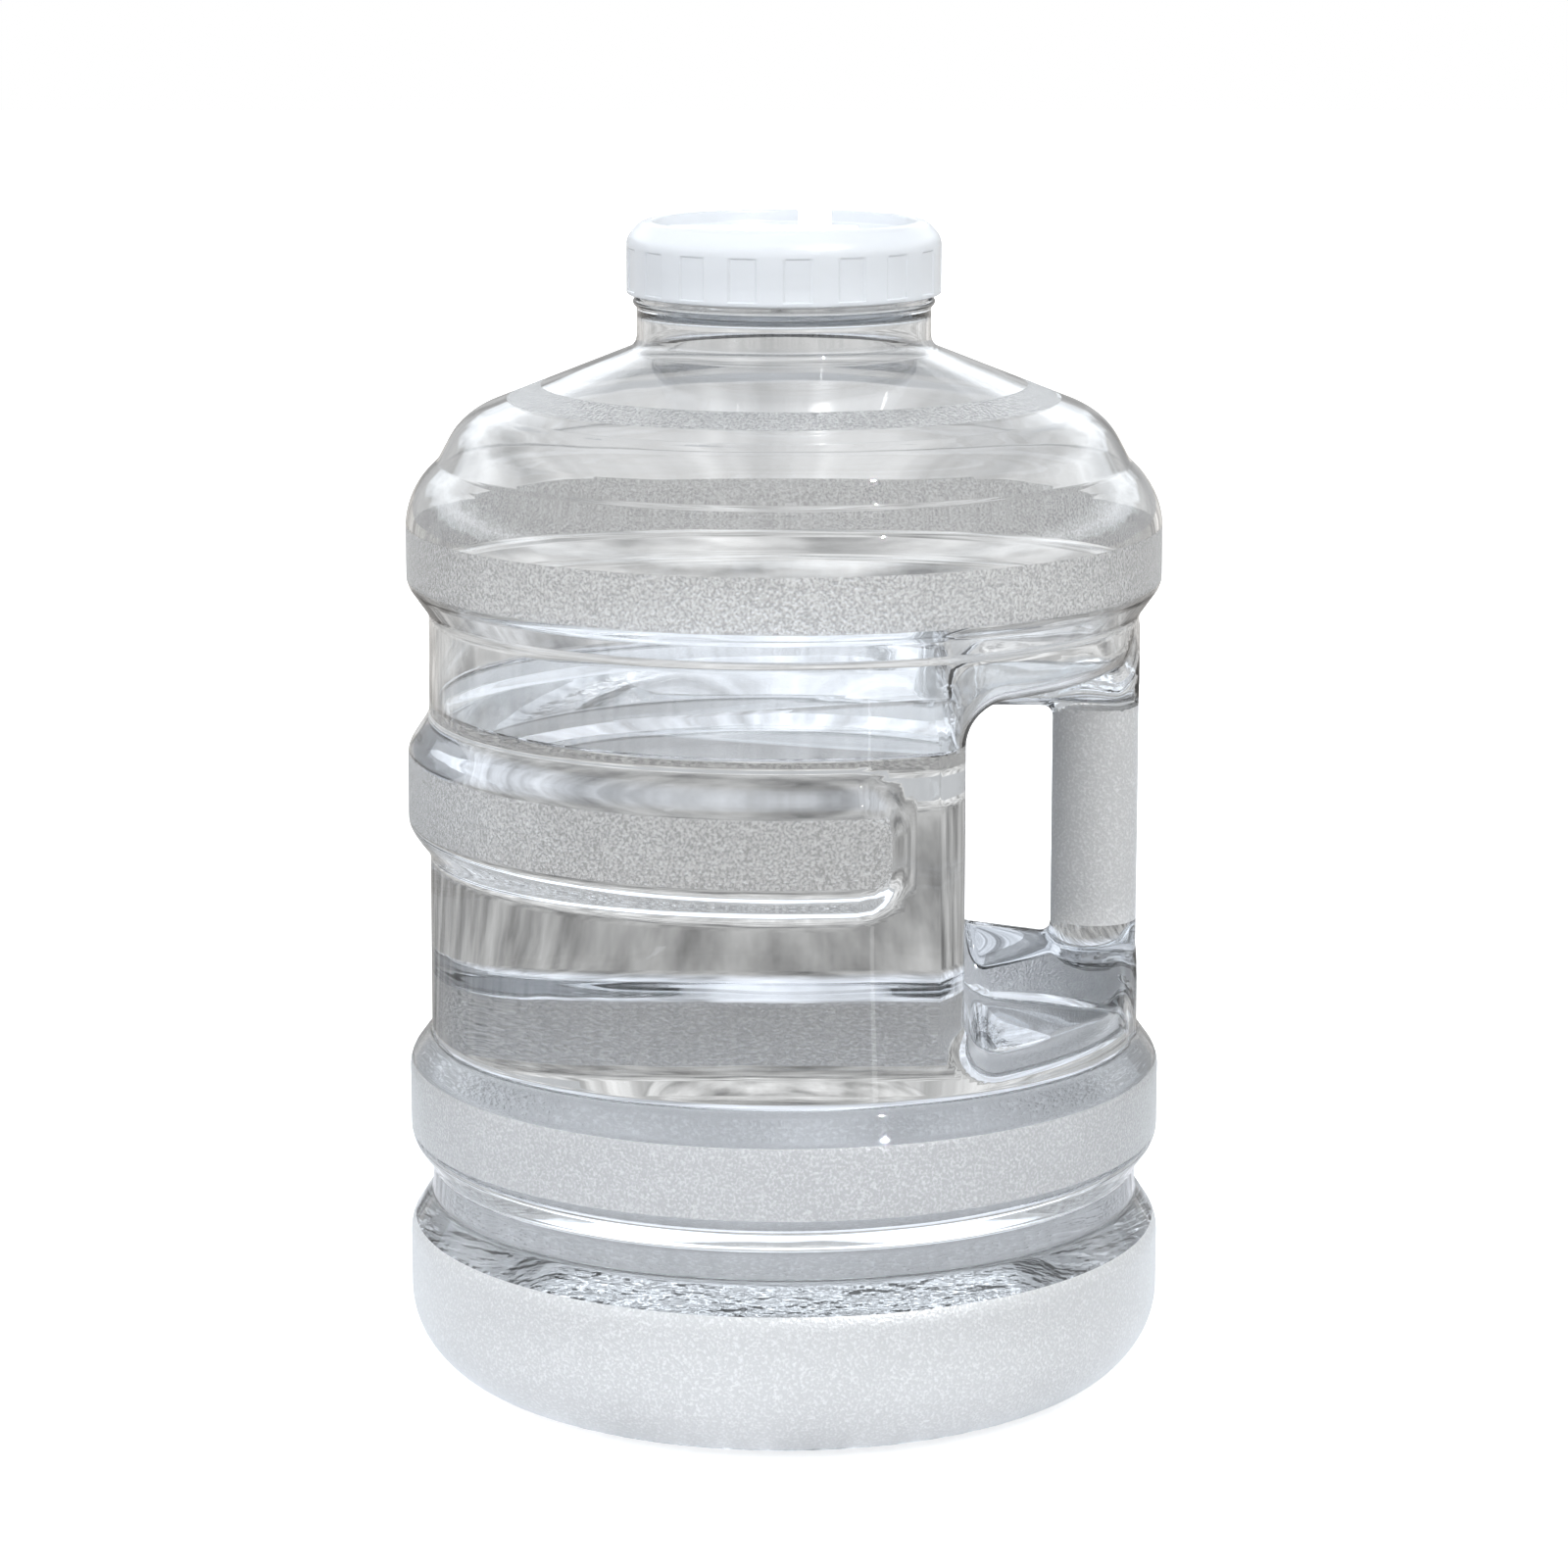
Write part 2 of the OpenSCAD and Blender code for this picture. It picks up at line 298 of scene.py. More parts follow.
def rounded_profile(corners, steps=5):
    """A closed run of (radius, height) points from corners of (radius, height, rounding)."""
    points = []
    for i, (x, y, radius) in enumerate(corners):
        here = np.array((x, y))
        before = np.array(corners[i - 1][:2]) - here
        after = np.array(corners[(i + 1) % len(corners)][:2]) - here
        if radius == 0:
            points.append((x, y))
            continue
        u, v = unit(before), unit(after)
        half = math.acos(np.clip(u @ v, -1, 1)) / 2
        centre = here + unit(u + v) * radius / math.sin(half)
        first = here + u * radius / math.tan(half) - centre
        last = here + v * radius / math.tan(half) - centre
        sweep = math.atan2(first[0] * last[1] - first[1] * last[0], first @ last)
        for step in range(steps + 1):
            t = sweep * step / steps
            c, s = math.cos(t), math.sin(t)
            points.append((centre[0] + first[0] * c - first[1] * s,
                           centre[1] + first[0] * s + first[1] * c))
    return points


def add_node(tree, kind, settings=(), **inputs):
    """Adds a shader node; settings are its own values, and each input is a value or a socket."""
    made = tree.nodes.new(kind)
    for key, value in dict(settings).items():
        setattr(made, key, value)
    for key, value in inputs.items():
        socket = made.inputs[int(key[1:]) if key[1:].isdigit() else key.replace("_", " ")]
        if isinstance(value, bpy.types.NodeSocket):
            tree.links.new(value, socket)
        else:
            socket.default_value = value
    return made


def new_material(name):
    """An empty material and its tree, with an output waiting for a surface."""
    material = bpy.data.materials.new(name)
    material.use_nodes = True
    tree = material.node_tree
    tree.nodes.clear()
    return material, tree


def finished(material, surface):
    """Joins a surface to the material's output, and returns the material."""
    add_node(material.node_tree, "ShaderNodeOutputMaterial", Surface=surface)
    return material


# ---- form of the blown shell -------------------------------------------------------------------


class TurnedOutline:
    """Signed distance from a turned outline of straight runs and rounded corners.

    The outline runs from the axis outwards and up, so its outer side is on the right.
    """

    def __init__(self, corners):
        places = [np.array(c[:2]) for c in corners]
        self.runs, self.arcs = [], []
        start = places[0]
        for i in range(1, len(places) - 1):
            radius = corners[i][2]
            before = unit(places[i] - places[i - 1])
            after = unit(places[i + 1] - places[i])
            turn = math.atan2(before[0] * after[1] - before[1] * after[0], before @ after)
            cut = radius * math.tan(abs(turn) / 2)
            first, last = places[i] - before * cut, places[i] + after * cut
            side = math.copysign(1, turn)
            centre = first + np.array((-before[1], before[0])) * side * radius
            self.runs.append((start, first))
            self.arcs.append((centre, radius, side, first - centre, last - centre))
            start = last
        self.runs.append((start, places[-1]))

    def distance(self, r, z):
        best = np.full(np.shape(r), 1e9)
        for start, end in self.runs:
            run = math.hypot(*(end - start))
            ur, uz = (end - start) / run
            t = np.clip((r - start[0]) * ur + (z - start[1]) * uz, 0, run)
            dr, dz = r - start[0] - t * ur, z - start[1] - t * uz
            gap = np.hypot(dr, dz)
            gap = np.where(dr * uz - dz * ur < 0, -gap, gap)
            best = np.where(np.abs(gap) < np.abs(best), gap, best)
        for centre, radius, side, first, last in self.arcs:
            dr, dz = r - centre[0], z - centre[1]
            facing = (((first[0] * dz - first[1] * dr) * side >= 0)
                      & ((dr * last[1] - dz * last[0]) * side >= 0))
            gap = (np.hypot(dr, dz) - radius) * side
            best = np.where(facing & (np.abs(gap) < np.abs(best)), gap, best)
        return best


class ShellForm:
    """The jug's outer face as a field: negative inside, zero on the face."""

    def __init__(self, s):
        self.s = s
        self.turned = TurnedOutline([
            (0, s.push_up, 0),
            (52 * MM, s.push_up, 14 * MM),
            (64 * MM, 0, 5 * MM),
            (s.base_r, 0, 23 * MM),
            (s.base_r, 41 * MM, 9 * MM),
            (s.groove_r, 51 * MM, 4 * MM),
            (s.groove_r, 59.2 * MM, 4 * MM),
            (s.band_r, 67.6 * MM, 8 * MM),
            (s.band_r, 88.8 * MM, 7 * MM),
            (s.waist_r + 0.4 * MM, 97.2 * MM, 6 * MM),
            (s.waist_r - 0.3 * MM, 215.2 * MM, 3.5 * MM),
            (s.shoulder_r, 223.6 * MM, 6 * MM),
            (s.shoulder_r, 247.6 * MM, 22 * MM),
            (s.shoulder_r - 9 * MM, 256.6 * MM, 2 * MM),
            (s.shoulder_r - 15.4 * MM, 268.6 * MM, 20 * MM),
            (s.neck_r, 288 * MM, 4 * MM),
            (s.neck_r, SHELL_TOP, 0),
        ])

    def rib_lift(self, turn, z):
        """How far the middle rib stands out of the waist, over its sloped edges."""
        s = self.s
        below = (s.rib_low - z) / (11.5 * MM)
        above = (z - s.rib_high) / (13 * MM)
        beside = (s.rib_end - np.abs(turn)) * s.rib_r / (12 * MM)
        edge = round_max(round_max(below, above, 0.1), beside, 0.9)
        return (s.rib_r - s.waist_r) * smoothstep(0.5 - edge)

    def recess(self, x, y, z):
        """Negative in the recess, which is open to the front, back and right."""
        s = self.s
        rise = s.gap_floor - s.recess_floor
        outward = np.clip((x - s.recess_x) / (s.bar_x - s.recess_x), 0, 1.2)
        across = np.abs(y) / (s.ridge_half + s.ridge_spread * outward)
        ramp = smoothstep(1 - across)
        floor = s.recess_floor + ramp * (rise - math.tan(s.ridge_fall) * (x - s.recess_x))
        ceiling = s.recess_top - ramp * (s.recess_top - s.gap_top)
        across = np.clip(across, 0, 1)
        steep = rise / s.ridge_half * 6 * across * (1 - across)
        scale = 1 / np.sqrt(1 + steep ** 2)
        low = (floor - z) * scale
        high = (z - ceiling) * scale
        corner = (4 + 7 * across) * MM
        return round_max(round_max(s.recess_x - x, low, corner), high, 11 * MM)

    def outside(self, x, y, z):
        s = self.s
        r, turn = np.hypot(x, y), np.arctan2(y, x)
        skin = self.turned.distance(r - self.rib_lift(turn, z), z)
        shell = round_max(skin, -self.recess(x, y, z), s.lip)
        bar = np.maximum(np.hypot(x - s.bar_x, y) - s.bar_r, np.abs(z - BAR_MIDDLE) - BAR_HALF)
        return np.maximum(round_min(shell, bar, s.bar_flare), skin - 0.2 * MM)

    def gradient(self, points, field):
        step = 0.04 * MM
        slopes = []
        for axis in range(3):
            ahead, behind = points.copy(), points.copy()
            ahead[:, axis] += step
            behind[:, axis] -= step
            slopes.append((field(*ahead.T) - field(*behind.T)) / (2 * step))
        return np.stack(slopes, 1)

    def settle(self, points, field):
        """Moves points onto the field's zero face, and returns them with the face's normals."""
        for _ in range(4):
            slope = self.gradient(points, field)
            size = np.maximum((slope ** 2).sum(1), 0.05)
            step = field(*points.T)[:, None] * slope / size[:, None]
            points = points - np.clip(step, -0.8 * MM, 0.8 * MM)
        slope = self.gradient(points, field)
        return points, slope / np.maximum(np.linalg.norm(slope, axis=1), 1e-9)[:, None]


def net(field, radii, turns, heights):
    """Points and quads of a field's zero face, on a grid of rings round the axis.

    Returns points, quads that face where the field grows, and the open ring at the top.
    """
    r, t, z = np.meshgrid(radii, turns, heights, indexing="ij")
    place = np.stack((r * np.cos(t), r * np.sin(t), z), -1)
    value = field(place[..., 0], place[..., 1], place[..., 2])
    nr, nt, nz = value.shape
    cells = (nr - 1, nt, nz - 1)
    total = np.zeros((np.prod(cells), 3))
    count = np.zeros(np.prod(cells))
    quads = []
    # each direction: the grid step, then the cells round an edge in turn as (r, turn, z) offsets
    ways = (
        ((1, 0, 0), ((0, -1, -1), (0, 0, -1), (0, 0, 0), (0, -1, 0))),
        ((0, 1, 0), ((-1, 0, -1), (-1, 0, 0), (0, 0, 0), (0, 0, -1))),
        ((0, 0, 1), ((-1, -1, 0), (0, -1, 0), (0, 0, 0), (-1, 0, 0))),
    )
    for step, around in ways:
        ahead = np.roll(value, -step[1], 1)[step[0]:, :, step[2]:]
        here = value[:nr - step[0], :, :nz - step[2]]
        ahead_place = np.roll(place, -step[1], 1)[step[0]:, :, step[2]:]
        i, j, k = np.nonzero((here < 0) != (ahead < 0))
        a, b = here[i, j, k], ahead[i, j, k]
        share = (a / (a - b))[:, None]
        cross = place[i, j, k] * (1 - share) + ahead_place[i, j, k] * share
        ids, whole = [], np.ones(len(i), bool)
        for dr, dt, dz in around:
            ci, cj, ck = i + dr, (j + dt) % nt, k + dz
            good = (ci >= 0) & (ci < cells[0]) & (ck >= 0) & (ck < cells[2])
            cell = np.where(good, (ci * nt + cj) * cells[2] + ck, 0)
            for axis in range(3):
                total[:, axis] += np.bincount(cell[good], cross[good, axis], len(total))
            count += np.bincount(cell[good], minlength=len(total))
            ids.append(cell)
            whole &= good
        around_edge = np.stack(ids, 1)
        around_edge = np.where((a < 0)[:, None], around_edge, around_edge[:, ::-1])
        quads.append(around_edge[whole])
    used = np.nonzero(count)[0]
    order = np.full(len(total), -1)
    order[used] = np.arange(len(used))
    faces = [tuple(q) for q in order[np.concatenate(quads)].tolist()]
    # the small hole round the axis
    for k in np.nonzero((value[0, 0, :-1] < 0) != (value[0, 0, 1:] < 0))[0]:
        ring = [int(order[j * cells[2] + k]) for j in range(nt)]
        faces.append(tuple(ring if value[0, 0, k] < 0 else ring[::-1]))
    _, cell_t, cell_z = np.unravel_index(used, cells)
    top = np.nonzero(cell_z == cells[2] - 1)[0]
    top = top[np.argsort(cell_t[top], kind="stable")]
    return total[used] / count[used][:, None], faces, [int(i) for i in top]


def shell_radii():
    """Radii of the rings of the grid that the shell and the water are cut from."""
    return np.concatenate(([0], np.arange(2, 112.1, 2))) * MM


def shell_columns():
    """Angles of the shell's columns, closer together round the grip."""
    near = np.arange(-70, 70, 1.25)
    far = np.linspace(70, 290, 84, endpoint=False)
    return np.radians(np.concatenate((near, far)))


# ---- materials ---------------------------------------------------------------------------------


def lumpy(tree, size, detail, strength, depth):
    """Lumps of a real size all over a face; returns the place and the bent normal."""
    place = add_node(tree, "ShaderNodeTexCoord").outputs["Object"]
    lumps = add_node(tree, "ShaderNodeTexNoise", Vector=place, Scale=1 / size, Detail=detail)
    bump = add_node(tree, "ShaderNodeBump", Strength=strength, Distance=depth,
                    Height=lumps.outputs["Fac"])
    return place, bump.outputs[0]


def slow_ripple(tree, s):
    """The slow ripples that blowing leaves in the wall."""
    return lumpy(tree, s.wave, 1.0, 0.06, 0.002)


def clear_polycarbonate(s):
    """Blown polycarbonate: glass-clear, with sharp reflections that ripple slightly."""
    material, tree = new_material("clear_polycarbonate")
    _, bent = slow_ripple(tree, s)
    shader = add_node(tree, "ShaderNodeBsdfPrincipled", Base_Color=(*s.tint, 1),
                      Roughness=0.012, Normal=bent, IOR=POLYCARBONATE_IOR,
                      Transmission_Weight=1.0)
    return finished(material, shader.outputs[0])


def pebbled_polycarbonate(s, name, clear, dull, painted_pebble_shade, grains):
    """Where the mould was blasted: fine pebbles break the view into bright and dark grains, whose
    colour is painted shade between the pebbles and painted glints on them.

    The sheen stands for the light that the rough face scatters, so the bands look milky.
    """
    material, tree = new_material(name)
    place, bent = slow_ripple(tree, s)
    pebble = add_node(tree, "ShaderNodeTexNoise", Vector=place, Scale=1.4 / s.grain, Detail=2.5)
    fine = add_node(tree, "ShaderNodeBump", Strength=1.0, Distance=0.0003,
                    Height=pebble.outputs["Fac"], Normal=bent)
    # painted light: the grain colour paints tiny shadows between the pebbles dark and sparse glints
    # on them white
    grain = add_node(tree, "ShaderNodeMapRange", Value=pebble.outputs["Fac"],
                     From_Min=grains[0], From_Max=grains[1], To_Min=painted_pebble_shade, To_Max=1.0)
    shader = add_node(tree, "ShaderNodeBsdfPrincipled", Base_Color=grain.outputs[0],
                      Roughness=dull, Normal=fine.outputs[0], IOR=POLYCARBONATE_IOR,
                      Transmission_Weight=clear, Sheen_Weight=min(1, 2 * (1 - clear)),
                      Sheen_Tint=(0.93, 0.97, 1, 1), Sheen_Roughness=0.35)
    return finished(material, shader.outputs[0])


def wavy_polycarbonate(s):
    """The base as it left the mould: clear, but wavy enough to break mirror images into streaks."""
    material, tree = new_material("wavy_polycarbonate")
    _, bent = lumpy(tree, 9 * MM, 3.0, 0.35, 0.004)
    shader = add_node(tree, "ShaderNodeBsdfPrincipled", Base_Color=(*s.tint, 1), Roughness=0.05,
                      Normal=bent, IOR=POLYCARBONATE_IOR, Transmission_Weight=1.0)
    return finished(material, shader.outputs[0])


def wetted_polycarbonate(s):
    """The inner face under water: polycarbonate against water, so it bends light far less."""
    material, tree = new_material("wetted_polycarbonate")
    shader = add_node(tree, "ShaderNodeBsdfPrincipled", Base_Color=(*s.tint, 1), Roughness=0.01,
                      IOR=POLYCARBONATE_IOR / WATER_IOR, Transmission_Weight=1.0)
    return finished(material, shader.outputs[0])


def still_water(s):
    """Clear drinking water: only its free surface bends and mirrors light."""
    material, tree = new_material("still_water")
    shader = add_node(tree, "ShaderNodeBsdfPrincipled", Base_Color=(*s.tint, 1), Roughness=0.0,
                      IOR=WATER_IOR, Transmission_Weight=1.0)
    return finished(material, shader.outputs[0])


def water_side(s):
    """The water's side and bottom, which the wetted wall already stands for."""
    material, tree = new_material("water_side")
    shader = add_node(tree, "ShaderNodeBsdfTransparent", Color=(*s.tint, 1))
    return finished(material, shader.outputs[0])


def milky_polypropylene(s):
    """Moulded natural polypropylene: milky, so the threads inside show only as soft lines."""
    material, tree = new_material("milky_polypropylene")
    _, bent = lumpy(tree, 0.5 * MM, 1.0, 0.06, 0.0002)
    shader = add_node(tree, "ShaderNodeBsdfPrincipled", Base_Color=(*s.milk, 1), Roughness=0.26,
                      Normal=bent, IOR=1.49, Transmission_Weight=0.4)
    return finished(material, shader.outputs[0])


def white_silicone(s):
    """Moulded silicone rubber: white, soft and slightly waxy."""
    material, tree = new_material("white_silicone")
    _, bent = lumpy(tree, 0.4 * MM, 2.0, 0.08, 0.0002)
    shader = add_node(tree, "ShaderNodeBsdfPrincipled", Base_Color=(*s.body, 1), Roughness=0.42,
                      Normal=bent, IOR=1.41, Subsurface_Weight=0.25,
                      Subsurface_Radius=(0.6, 0.55, 0.5), Subsurface_Scale=0.002)
    return finished(material, shader.outputs[0])


def closed_cell_foam():
    """Punched polyethylene foam: dull white with fine closed cells."""
    material, tree = new_material("closed_cell_foam")
    place = add_node(tree, "ShaderNodeTexCoord").outputs["Object"]
    cells = add_node(tree, "ShaderNodeTexVoronoi", Vector=place, Scale=1 / (0.35 * MM))
    tone = add_node(tree, "ShaderNodeMapRange", Value=cells.outputs["Distance"],
                    To_Min=0.78, To_Max=0.9)
    bump = add_node(tree, "ShaderNodeBump", Strength=0.3, Distance=0.0002,
                    Height=cells.outputs["Distance"])
    shader = add_node(tree, "ShaderNodeBsdfPrincipled", Base_Color=tone.outputs[0],
                      Roughness=0.75, Normal=bump.outputs[0])
    return finished(material, shader.outputs[0])


# ---- pieces ------------------------------------------------------------------------------------


def neck_rows(s):
    """Outline of the neck above the shell: bead, threaded wall, rim and bore."""
    bead_low, bead_high = SHELL_TOP, 301.4 * MM
    root = s.neck_r - 0.5 * MM
    bead = [(s.neck_r + 1 * MM * math.sin(math.pi * t), bead_low + (bead_high - bead_low) * t)
            for t in np.linspace(0, 1, 9)]
    threaded = [(root, z) for z in np.arange(bead_high + 0.6 * MM, s.mouth_z - 1 * MM, 0.35 * MM)]
    rim = [(root, s.mouth_z - 0.7 * MM), (root - 0.25 * MM, s.mouth_z - 0.2 * MM),
           (root - 0.7 * MM, s.mouth_z), (s.mouth_r + 0.5 * MM, s.mouth_z),
           (s.mouth_r + 0.1 * MM, s.mouth_z - 0.2 * MM), (s.mouth_r, s.mouth_z - 0.6 * MM)]
    bore = [(s.mouth_r, z) for z in np.linspace(s.mouth_z - 2 * MM, 299 * MM, 8)]
    return bead + threaded + rim + bore + [(s.mouth_r + 0.25 * MM, 298 * MM)]


def thread_lift(turn, z, start, pitch, turns, tooth, half):
    """Height of a helical tooth at an angle and height; it fades in and out at its ends."""
    lift = 0
    for lap in range(-1, int(turns) + 2):
        along = turn / (2 * math.pi) + lap
        if not 0 <= along <= turns:
            continue
        across = abs(z - start - pitch * along) / half
        ends = min(1, along / 0.12, (turns - along) / 0.12)
        lift = max(lift, tooth * max(0, min(1, (1 - across) * 2)) * ends)
    return lift


def frost_of(points, s):
    """How pebbled the outer face is at each point, from 0, clear, to 1, frosted."""
    x, y, z = points.T
    r = np.hypot(x, y)

    def between(low, high, edge=1.4):
        return (smoothstep((z - low * MM) / (edge * MM) + 0.5)
                * smoothstep((high * MM - z) / (edge * MM) + 0.5))

    proud = smoothstep((r - s.waist_r - 2.5 * MM) / (2 * MM))
    bands = proud * np.maximum.reduce([between(*band) for band in BLASTED_BANDS])
    base = between(-5, 42) * smoothstep((r - 92 * MM) / (4 * MM))
    dome = between(273.5, 277.5)
    on_bar = (np.hypot(x - s.bar_x, y) < s.bar_r + BAR_SKIN) * between(126, 187)
    return np.maximum.reduce([bands, base, dome, on_bar])


def make_shell(s, level):
    form = ShellForm(s)
    columns = shell_columns()
    radii = shell_radii()
    heights = np.arange(-1.2 * MM, 297.2 * MM, s.row)
    outer, outer_faces, outer_top = net(form.outside, radii, columns, heights)
    outer, outer_normals = form.settle(outer, form.outside)

    def lining(x, y, z):
        return form.outside(x, y, z) + s.wall

    inner, inner_faces, inner_top = net(lining, radii, columns, heights)
    inner, inner_normals = form.settle(inner, lining)

    rows = neck_rows(s)
    turns = [math.atan2(*outer[i][1::-1]) % (2 * math.pi) for i in outer_top]
    neck = []
    for radius, height in rows:
        outside = radius > s.neck_r - 0.8 * MM and height > 302 * MM
        for turn in turns:
            lift = thread_lift(turn, height, THREAD_START, s.thread_pitch, NECK_TURNS,
                               NECK_TOOTH, TOOTH_HALF) if outside else 0
            neck.append(((radius + lift) * math.cos(turn), (radius + lift) * math.sin(turn),
                         height))
    start = len(outer) + len(inner)
    rings = [outer_top]
    rings += [list(range(start + i * len(turns), start + (i + 1) * len(turns)))
              for i in range(len(rows))]
    rings += [[i + len(outer) for i in inner_top]]
    points = np.concatenate((outer, inner, neck))
    inner_faces = [tuple(i + len(outer) for i in face[::-1]) for face in inner_faces]
    neck_faces = ring_faces(rings)
    faces = outer_faces + inner_faces + neck_faces
    wet = [WETTED if np.mean([points[i][2] for i in face]) < level else CLEAR
           for face in inner_faces]
    frost = frost_of(outer, s)
    on_bar = np.hypot(outer[:, 0] - s.bar_x, outer[:, 1]) < s.bar_r + BAR_SKIN
    high, wide = outer[:, 2], np.hypot(outer[:, 0], outer[:, 1])
    # the lower a band is, the harder it was blasted; the bar is like the base
    blast = np.where(high < 100 * MM, MEDIUM, LIGHT)
    blast[(high < 55 * MM) | on_bar] = HEAVY
    finish = np.where(frost > 0.5, blast, CLEAR)
    finish[(high < 20 * MM) & (wide < 94 * MM)] = WAVY
    dry = [int(finish[face[0]]) for face in outer_faces]
    kinds = dry + wet + [CLEAR] * len(neck_faces)
    shell = piece("jug_shell", points.tolist(), faces,
                  [clear_polycarbonate(s), wetted_polycarbonate(s),
                   *(pebbled_polycarbonate(s, *blasting) for blasting in BLASTINGS),
                   wavy_polycarbonate(s)],
                  kinds)
    normals = np.concatenate((outer_normals, -inner_normals, np.zeros((len(neck), 3))))
    normals[outer_top] = 0
    normals[[i + len(outer) for i in inner_top]] = 0
    shell.data.normals_split_custom_set_from_vertices(normals.tolist())
    return shell


class JUG_OT_shell(bpy.types.Operator):
    """Builds the blown body with its bands, recess, hollow grip bar and threaded neck"""

    bl_idname = "jug.shell"
    bl_label = "Blown Shell"

    def execute(self, context):
        shell = make_shell(context.scene.jug_shell, context.scene.jug_water.level)
        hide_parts("jug_body")
        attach(shell, "jug")
        return {"FINISHED"}


def make_water(s, w):
    form = ShellForm(s)
    inset = s.wall + w.gap
    radii = shell_radii()
    rows = math.ceil((w.level + w.meniscus) / (1.6 * MM))
    heights = w.level + w.meniscus + 0.8 * MM - np.arange(rows + 1)[::-1] * 1.6 * MM

    def wetted(x, y, z):
        return form.outside(x, y, z) + inset

    points, faces, _ = net(wetted, radii, shell_columns(), heights)
    points, _ = form.settle(points, wetted)
    body = piece("water", points.tolist(), faces)
    mesh = bmesh.new()
    mesh.from_mesh(body.data)
    open_edges = [e for e in mesh.edges if e.is_boundary]
    lids = bmesh.ops.edgeloop_fill(mesh, edges=open_edges)["faces"]
    for face in lids:
        if face.normal.z < 0:
            face.normal_flip()
        for vertex in face.verts:
            vertex.co.z = w.level + w.meniscus
    # the lid falls away from the wall over a few narrow rings
    rings = ((0.4, 0.66), (0.9, 0.40), (1.5, 0.20), (2.3, 0.06), (3.2, 0.0))
    for lid in lids:
        rim = [v.co.copy() for v in lid.verts]
        slope = form.gradient(np.array(rim), wetted) * (1, 1, 0)
        slope /= np.linalg.norm(slope, axis=1)[:, None]
        outer = list(lid.verts)
        mesh.faces.remove(lid)
        for inward, height in rings:
            inner = [mesh.verts.new((*(co - Vector(way) * inward * MM).xy,
                                     w.level + w.meniscus * height))
                     for co, way in zip(rim, slope)]
            for i in range(len(rim)):
                j = (i + 1) % len(rim)
                mesh.faces.new((outer[i], outer[j], inner[j], inner[i])).material_index = 1
            outer = inner
        mesh.faces.new(outer).material_index = 1
    for face in mesh.faces:
        face.smooth = True
    mesh.to_mesh(body.data)
    mesh.free()
    body.data.materials.append(water_side(w))
    body.data.materials.append(still_water(w))
    return body


class JUG_OT_water(bpy.types.Operator):
    """Fills the jug with still water up to its level"""

    bl_idname = "jug.water"
    bl_label = "Water"

    def execute(self, context):
        water = make_water(context.scene.jug_shell, context.scene.jug_water)
        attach(water, "jug")
        return {"FINISHED"}


def flat_columns(count):
    """Angles round the cap, with close pairs at the edges of every flat."""
    half = 180 / count
    steps = [0.35, 1.1, 3, 5, 7, 8.9, 9.65]
    share = [v / 10 * half for v in steps]
    return [math.radians(2 * half * i + part * half + v)
            for i in range(count) for part in (0, 1) for v in share]


def cap_profile(c):
    """Outline of the cap's section, from the skirt's foot up, over and down the bore."""
    low = c.low
    skirt = [(c.outer_r - 0.5 * MM, low), (c.outer_r - 0.1 * MM, low + 0.25 * MM),
             (c.outer_r, low + 0.7 * MM)]
    skirt += [(c.outer_r, z * MM) for z in (303.3, 303.6, 305, 308, 311, 314, 314.7, 315.2)]
    crown = rounded_profile([
        (c.outer_r, 315.3 * MM, 0), (c.outer_r, 317.6 * MM, 5.5 * MM),
        (38.8 * MM, c.top, 4.2 * MM), (c.dish_r + 0.8 * MM, c.top, 0.8 * MM),
        (c.dish_r, c.plate_high, 0.7 * MM), (0, c.plate_high, 0)])
    under = [(c.bore_r - 10 * MM, c.plate_low), (c.bore_r - 0.8 * MM, c.plate_low),
             (c.bore_r, c.plate_low - 0.8 * MM)]
    bore = [(c.bore_r, z) for z in np.arange(315.8 * MM, low + 0.6 * MM, -0.35 * MM)]
    return skirt + crown + [(0, c.plate_low)] + under + bore + [
        (c.bore_r + 0.2 * MM, low + 0.1 * MM), (c.outer_r - 0.5 * MM, low)]


def make_cap(c, s, stopper):
    columns = flat_columns(c.flats)
    profile = cap_profile(c)
    points, faces = turned(profile, columns)
    shaped = []
    for x, y, z in points:
        r, turn = math.hypot(x, y), math.atan2(y, x) % (2 * math.pi)
        push = 0
        if r > c.outer_r - 0.05 * MM and FLATS_LOW < z < FLATS_HIGH:
            sunk = (turn * c.flats / math.pi) % 2 > 1
            push = -c.flat_depth if sunk else 0
        elif abs(r - c.bore_r) < 0.05 * MM and z < 316 * MM:
            push = -thread_lift(turn, z, THREAD_START + s.thread_pitch / 2, s.thread_pitch,
                                CAP_TURNS, c.tooth, TOOTH_HALF)
        grow = (r + push) / r if r else 1
        shaped.append((x * grow, y * grow, z))
    cap = piece("cap_shell", shaped, faces, [milky_polypropylene(c)])
    mesh = bmesh.new()
    mesh.from_mesh(cap.data)
    bmesh.ops.remove_doubles(mesh, verts=mesh.verts, dist=1e-7)
    mesh.to_mesh(cap.data)
    mesh.free()
    for x, radius in ((stopper.pour_x, stopper.pour_r), (stopper.anchor_x, 1.7 * MM)):
        points, faces = turned([(0, c.plate_low - 2 * MM), (radius, c.plate_low - 2 * MM),
                                (radius, c.plate_high + 2 * MM), (0, c.plate_high + 2 * MM)],
                               even_turn(64))
        drill = piece("drill", points, faces)
        drill.location.x = x
        bpy.context.view_layer.update()
        applied(cap, "BOOLEAN", operation="DIFFERENCE", object=drill, solver="EXACT")
        bpy.data.objects.remove(drill)
    cap.data.set_sharp_from_angle(angle=math.radians(32))
    return cap


